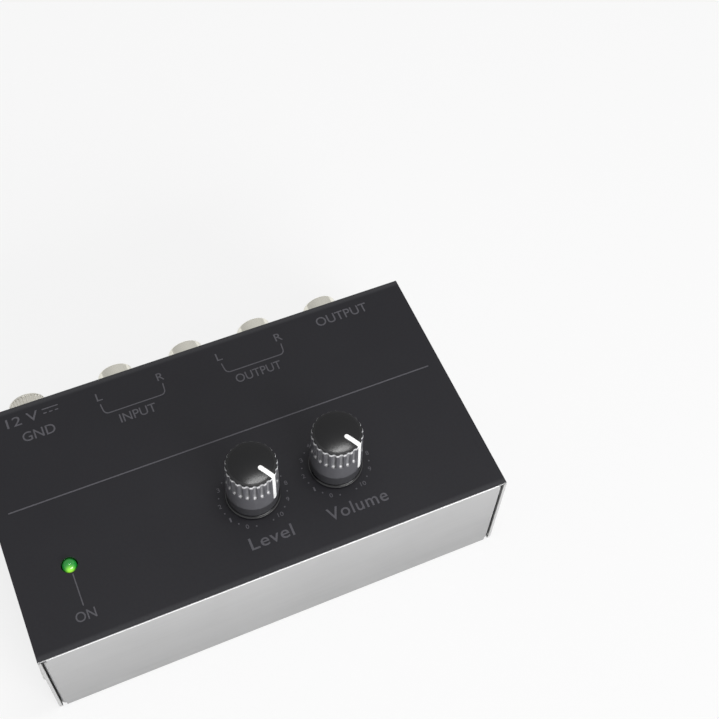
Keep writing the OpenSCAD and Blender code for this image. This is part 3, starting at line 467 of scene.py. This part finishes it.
def knob_profile():
    """Radius and height from the hollow underside round the outside to the top."""
    edge_r = RIM_R - CROWN_ROUND
    dome_r = (edge_r ** 2 + CROWN_H ** 2) / (2 * CROWN_H)
    dome = math.asin(edge_r / dome_r)
    inner = RIM_R - KNOB_WALL
    low = fillet([(AXIS_R, KNOB_H - KNOB_ROOF), (inner, KNOB_H - KNOB_ROOF), (inner, 0.0),
                  (KNOB_R, 0.0), (KNOB_R, LIP_H), (NECK_R, NECK_Z),
                  (SHOULDER_R, SHOULDER_Z), (RIM_R, SIDE_TOP)],
                 [0.2, 0.15, 0.12, 0.08, 0.3, 0.22], CORNER_STEPS)
    # Rings up the fluted side, close together round the flutes' lower ends
    a, b = low[-2], low[-1]
    heights = [FLUTE_Z - 0.2 + i * 0.055 for i in range(16)]
    heights = [5.4, 7.0] + heights + [10.2, 11.6, 12.4, 12.9]
    side = [a + (b - a) * ((h - a.y) / (b.y - a.y)) for h in heights]
    rim = [Vector((edge_r + CROWN_ROUND * math.cos(t),
                   SIDE_TOP + CROWN_ROUND * math.sin(t)))
           for t in map(math.radians, range(0, 75, 6))]
    cap = [Vector((dome_r * math.sin(t), KNOB_H - dome_r + dome_r * math.cos(t)))
           for t in [dome * (1 - i / CAP_RINGS) for i in range(CAP_RINGS)]]
    return low[:-1] + side + rim + cap + [Vector((AXIS_R, KNOB_H))]


def fluted(radius, height, angle):
    """The radius that the flutes' cutter leaves, and how near the place is to the middle
    of a flute, from 0 to 1."""
    rise = height - (FLUTE_Z + FLUTE_R)
    reach2 = FLUTE_R ** 2 - min(rise, 0.0) ** 2
    nearest = min(max(round((angle - FLUTE_FIRST) / FLUTE_STEP), 0), FLUTES - 1)
    off = angle - FLUTE_FIRST - nearest * FLUTE_STEP
    if reach2 <= 0 or abs(off) >= FLUTE_SPAN:
        return radius, 0.0
    across, middle = FLUTE_AXIS_R * math.sin(off), FLUTE_AXIS_R * math.cos(off)
    if reach2 > across ** 2:
        cut = middle - math.sqrt(reach2 - across ** 2)
        return soft_min(radius, cut, FLUTE_SOFT), near(across, 0.6 * FLUTE_R) ** 0.5
    # Beside the cutter: a steep bank, so that the flute's edge is rounded and not stepped
    cut = middle + math.sqrt(across ** 2 - reach2) * 1.5
    return soft_min(radius, cut, FLUTE_SOFT), 0.0


def knob_mesh():
    """A fluted knob about its own axis, standing on z = 0, its pointer along +X. Its
    painted_glint attribute says where pale painted highlights stand for glints: the rim,
    the flutes (palest at their lower ends) and the lip."""
    profile = knob_profile()
    hollow = 2 * (CORNER_STEPS + 1)     # the profile's points up to the foot
    verts, painted_glint = [], []
    for i, p in enumerate(profile):
        # Painted highlights: a pale line on the rim, pale flutes palest at their lower
        # ends, and a faint line on the lip.
        rim = near(p.y - RIM_LINE_Z, RIM_LINE) if p.x > NECK_R * 0.8 else 0.0
        foot = near(p.y - FLUTE_Z - FLUTE_FOOT_RISE, FLUTE_FOOT)
        lip = LIP_GLINT_TONE * near(math.hypot(p.x - KNOB_R, p.y - LIP_H), LIP_LINE)
        for j in range(KNOB_SEGMENTS):
            angle = 2 * math.pi * j / KNOB_SEGMENTS
            r, trough = fluted(p.x, p.y, angle) if i > hollow else (p.x, 0.0)
            trough = trough * (0.16 + 0.84 * foot) if p.y < RIM_LINE_Z else 0.0
            verts.append((r * math.cos(angle) * MM, r * math.sin(angle) * MM, p.y * MM))
            painted_glint.append(max(trough, rim, lip))
    faces = []
    for i in range(len(profile) - 1):
        for j in range(KNOB_SEGMENTS):
            a, b = i * KNOB_SEGMENTS + j, i * KNOB_SEGMENTS + (j + 1) % KNOB_SEGMENTS
            faces.append((a, b, b + KNOB_SEGMENTS, a + KNOB_SEGMENTS))
    mesh = new_mesh("fluted_knob", verts, faces, FINISHES["knob_black"])
    mesh.shade_smooth()
    mesh.attributes.new("painted_glint", "FLOAT", "POINT").data.foreach_set("value", painted_glint)
    return mesh


shared_knob = knob_mesh()
for which, (x, y) in KNOBS.items():
    knob = add(which + "_fluted_knob", shared_knob, which + "_control",
               m(x, y, KNOB_Z), math.radians(POINTER_DEG))
    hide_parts(which + "_knob")


# ---------------------------------------------------------------- printed marks

LINE = 0.26                             # width of most printed lines
WORD, BOLD = 0.004, 0.006               # how much the letters are thickened
BRACKET_TOP, BRACKET_LOW = 22.4, 19.75
NUMBER_RING, NUMBER_H = 7.45, 1.0       # the dials' numbers
DOT_RING, DOT_R, DOT_SIDES = 7.3, 0.17, 20


def slab(name, outlines):
    """Flat printed shapes from closed outlines, each a list of (x, y) in millimetres."""
    verts, faces = [], []
    for outline in outlines:
        n, base = len(outline), len(verts)
        for z in (CASE_H, PRINT_TOP):
            verts += [(px * MM, py * MM, z * MM) for px, py in outline]
        faces.append([base + n + i for i in range(n)])
        faces += [[base + i, base + (i + 1) % n, base + n + (i + 1) % n, base + n + i]
                  for i in range(n)]
    add(name, new_mesh(name, verts, faces, LEGEND), "chassis")


def stroke(points, width=LINE):
    """The outline of a line of the given width with round ends."""
    pts = [Vector(p) for p in points]
    left, right = [], []
    for i, p in enumerate(pts):
        before = (p - pts[i - 1]).normalized() if i else (pts[1] - p).normalized()
        after = (pts[i + 1] - p).normalized() if i + 1 < len(pts) else before
        d = (before + after).normalized()
        side = Vector((-d.y, d.x)) * (width / 2 / max(0.3, d.dot(before)))
        left.append(p + side)
        right.append(p - side)

    def cap(centre, start):
        """Points on a half circle about the centre, from the start on."""
        v = start - centre
        return [centre + Vector((v.x * math.cos(a) - v.y * math.sin(a),
                                 v.x * math.sin(a) + v.y * math.cos(a)))
                for a in [math.pi * k / 6 for k in range(1, 6)]]

    outline = right + cap(pts[-1], right[-1]) + left[::-1] + cap(pts[0], left[0])
    return [(q.x, q.y) for q in outline]


def dot(x, y):
    """The outline of a dot."""
    return [(x + DOT_R * math.cos(a), y + DOT_R * math.sin(a))
            for a in [2 * math.pi * i / DOT_SIDES for i in range(DOT_SIDES)]]


def lettering(name, text, box, weight=WORD, spacing=1.0):
    """Printed words fitted to a box (x0, y0, x1, y1) round their ink, in millimetres."""
    curve = bpy.data.curves.new(name, "FONT")
    curve.body = text
    curve.size = 1.0
    curve.offset = weight
    curve.space_character = spacing
    curve.resolution_u = 4
    source = put(name + "_source", curve)
    bpy.context.view_layer.update()
    deps = bpy.context.evaluated_depsgraph_get()
    mesh = bpy.data.meshes.new_from_object(source.evaluated_get(deps))
    bpy.data.objects.remove(source)
    xs = [v.co.x for v in mesh.vertices]
    ys = [v.co.y for v in mesh.vertices]
    x0, y0, x1, y1 = box
    kx = (x1 - x0) / (max(xs) - min(xs))
    ky = (y1 - y0) / (max(ys) - min(ys))
    for v in mesh.vertices:
        v.co = m(x0 + (v.co.x - min(xs)) * kx, y0 + (v.co.y - min(ys)) * ky, PRINT_TOP)
    mesh.name = name
    mesh.materials.clear()
    mesh.materials.append(LEGEND)
    add(name, mesh, "chassis")


def bracket(name, x0, x1):
    """A line that joins two sockets' letters from below."""
    path = fillet([(x0, BRACKET_TOP), (x0 + 0.25, BRACKET_LOW), (x1 - 0.25, BRACKET_LOW),
                   (x1, BRACKET_TOP)], [1.1, 1.1], 8)
    slab(name, [stroke(path)])


slab("separator_line", [stroke([(-48.3, 4.35), (48.5, 4.35)], 0.30)])
slab("lamp_leader_line", [stroke([(-39.95, -13.6), (-39.95, -20.8)], 0.24)])
lettering("legend_on", "ON", (-42.2, -24.1, -38.0, -21.9))
lettering("legend_voltage", "12 V", (-43.2, 24.0, -36.1, 26.4))
slab("direct_current_sign",
     [stroke([(-35.0, 26.0), (-31.6, 26.0)])]
     + [stroke([(-34.9 + 1.28 * i, 24.95), (-34.36 + 1.28 * i, 24.95)]) for i in range(3)])
lettering("legend_ground", "GND", (-40.8, 19.5, -33.6, 21.9))
bracket("input_bracket", -22.9, -8.5)
bracket("output_bracket", 5.4, 19.8)
lettering("legend_input_left", "L", (-23.3, 23.4, -22.0, 25.4))
lettering("legend_input_right", "R", (-9.3, 23.4, -7.7, 25.4))
lettering("legend_input", "INPUT", (-20.0, 16.3, -11.8, 18.5))
lettering("legend_output_left", "L", (4.8, 23.4, 6.1, 25.4))
lettering("legend_output_right", "R", (19.0, 23.4, 20.7, 25.4))
lettering("legend_output", "OUTPUT", (7.0, 16.3, 17.8, 18.5))
lettering("legend_output_single", "OUTPUT", (29.5, 23.5, 42.2, 25.9))
lettering("legend_level", "Level", (-4.5, -22.8, 5.1, -20.0), BOLD, 1.08)
lettering("legend_volume", "Volume", (13.0, -22.9, 26.6, -20.0), BOLD, 1.08)

# Dials: numbers every 30 degrees from lower left round to lower right, dots between
for which, (cx, cy) in KNOBS.items():
    for n in range(11):
        a = math.radians(240 - 30 * n)
        x, y = cx + NUMBER_RING * math.cos(a), cy + NUMBER_RING * math.sin(a)
        w = {1: 0.36, 10: 1.25}.get(n, 0.66)
        lettering(f"{which}_dial_{n}", str(n),
                  (x - w / 2, y - NUMBER_H / 2, x + w / 2, y + NUMBER_H / 2), BOLD)
    slab(f"{which}_dial_dots",
         [dot(cx + DOT_RING * math.cos(a), cy + DOT_RING * math.sin(a))
          for a in [math.radians(15 + 30 * k) for k in range(12)]])


# ---------------------------------------------------------------- stage, light, camera
# Places and sizes are in metres from here on.

FLOOR_HALF, FLOOR_Z = 3.0, -0.00003     # just below the case, so that no faces coincide
FLOOR_TONE, FLOOR_GLOW = 0.86, 0.965
FLOOR_SEEN, FLOOR_MIRRORED = 0.78, 0.30     # share of glow to the camera and in mirrors

ROOM_LIGHT = 0.57
ROOM_BRIGHT_SIDE = (0.45, -0.75, 0.5)
ROOM_DIM, ROOM_BRIGHT = 0.8, 1.2        # the light away from that side, and towards it
BACKDROP = 0.93                         # what the camera sees behind the floor

CAMERA, AIM = (-0.03620, -0.12371, 0.26900), (0.03479, 0.01178, 0.02800)
CAMERA_ROLL_DEG = 4.755
LENS_MM, SENSOR_MM = 62.788, 36.0


def stage_floor():
    """A white floor that shadows darken and that glows a little, like a lit backdrop."""
    f = Finish("floor_white", Roughness=0.9, Specular_IOR_Level=0.1,
               Base_Color=(FLOOR_TONE, FLOOR_TONE, FLOOR_TONE, 1))
    s, z = FLOOR_HALF, FLOOR_Z
    corners = [(-s, -s, z), (s, -s, z), (s, s, z), (-s, s, z)]
    floor = put("floor", new_mesh("floor", corners, [(0, 1, 2, 3)], f.mat))
    path = f.node("ShaderNodeLightPath")
    mirrored = f.math("MAXIMUM", path.outputs["Is Glossy Ray"],
                      path.outputs["Is Transmission Ray"])
    share = f.math("ADD", f.math("MULTIPLY", path.outputs["Is Camera Ray"], FLOOR_SEEN),
                   f.math("MULTIPLY", mirrored, FLOOR_MIRRORED))
    glow = f.node("ShaderNodeEmission")
    glow.inputs["Color"].default_value = (FLOOR_GLOW, FLOOR_GLOW, FLOOR_GLOW, 1)
    mix = f.node("ShaderNodeMixShader")
    f.link(share, mix.inputs["Fac"])
    f.link(f.shader.outputs["BSDF"], mix.inputs[1])
    f.link(glow.outputs["Emission"], mix.inputs[2])
    f.link(mix.outputs["Shader"], f.tree.nodes["Material Output"].inputs["Surface"])


def world_light():
    """An even white room, a little brighter towards one side, and a plain backdrop."""
    world = bpy.data.worlds.new("even_light")
    world.use_nodes = True
    bpy.context.scene.world = world
    nodes, link = world.node_tree.nodes, world.node_tree.links.new
    back = nodes["Background"]
    back.inputs["Color"].default_value = (1, 1, 1, 1)
    facing = nodes.new("ShaderNodeVectorMath")
    facing.operation = "DOT_PRODUCT"
    facing.inputs[1].default_value = Vector(ROOM_BRIGHT_SIDE).normalized()
    link(nodes.new("ShaderNodeTexCoord").outputs["Generated"], facing.inputs[0])
    room = nodes.new("ShaderNodeMapRange")
    room.inputs["From Min"].default_value = -0.6
    room.inputs["To Min"].default_value = ROOM_LIGHT * ROOM_DIM
    room.inputs["To Max"].default_value = ROOM_LIGHT * ROOM_BRIGHT
    link(facing.outputs["Value"], room.inputs["Value"])
    pick = nodes.new("ShaderNodeMapRange")
    link(nodes.new("ShaderNodeLightPath").outputs["Is Camera Ray"], pick.inputs["Value"])
    link(room.outputs["Result"], pick.inputs["To Min"])
    pick.inputs["To Max"].default_value = BACKDROP
    link(pick.outputs["Result"], back.inputs["Strength"])


def softbox(name, place, aim, size, power):
    """A rectangular light at its place, facing the aim."""
    light = bpy.data.lights.new(name, "AREA")
    light.shape = "RECTANGLE"
    light.size, light.size_y = size
    light.energy = power
    point_at(put(name, light), place, aim)


stage_floor()
world_light()
# The overhead light stands and aims at one x, which keeps its long side along X.
softbox("overhead_light", (0.09, -0.03, 0.75), (0.09, 0.01, 0.02), (0.36, 0.05), 1.4)
softbox("front_light", (0.25, -0.80, 0.30), (0.0, 0.0, 0.02), (0.60, 0.24), 6.2)

camera_data = bpy.data.cameras.new("camera")
camera_data.sensor_width, camera_data.lens = SENSOR_MM, LENS_MM
camera_data.clip_start, camera_data.clip_end = 0.01, 20.0
camera = put("camera", camera_data)
point_at(camera, CAMERA, AIM, math.radians(CAMERA_ROLL_DEG))
bpy.context.scene.camera = camera
bpy.context.scene.view_settings.view_transform = "Standard"
